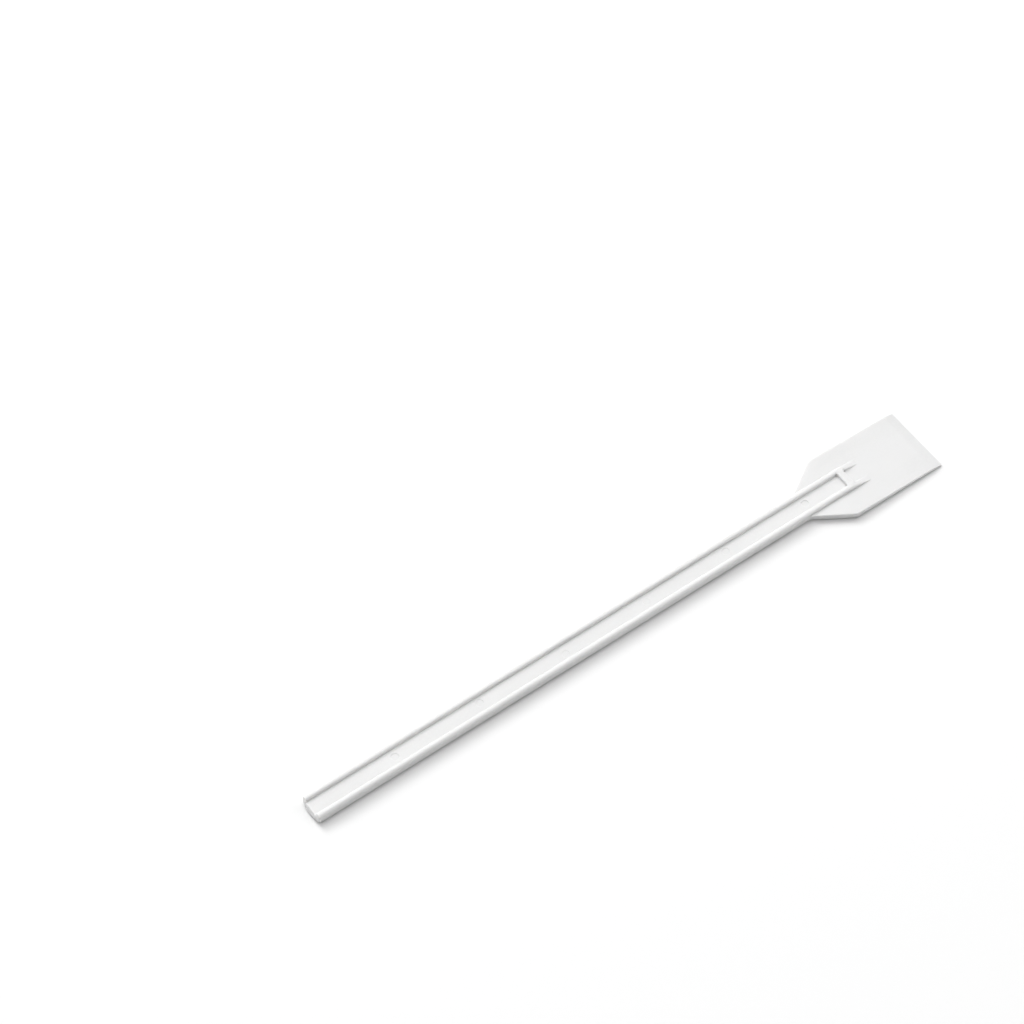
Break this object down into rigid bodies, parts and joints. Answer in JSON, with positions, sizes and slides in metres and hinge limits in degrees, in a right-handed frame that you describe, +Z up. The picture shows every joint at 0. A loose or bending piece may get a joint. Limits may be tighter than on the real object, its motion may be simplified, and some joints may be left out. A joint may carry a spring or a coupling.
{
  "type": "cell lifter",
  "caption": "One-piece white plastic cell lifter: a long channelled handle that runs into a flat wedge blade with sloping shoulders and a bevelled front edge, for lifting cells off a dish.",
  "frame": {"origin": "middle of the flat underside that the tool rests on", "axes": "+X along the tool from the handle's plain end to the blade's front edge, +Y across the blade, +Z up out of the handle's open channel"},
  "size_m": [0.18, 0.0194, 0.003],
  "materials": {
    "white_polyethylene": "satin moulded polyethylene, slightly translucent"
  },
  "bodies": {
    "root": {"cell_lifter": "white_polyethylene"}
  },
  "joints": []
}
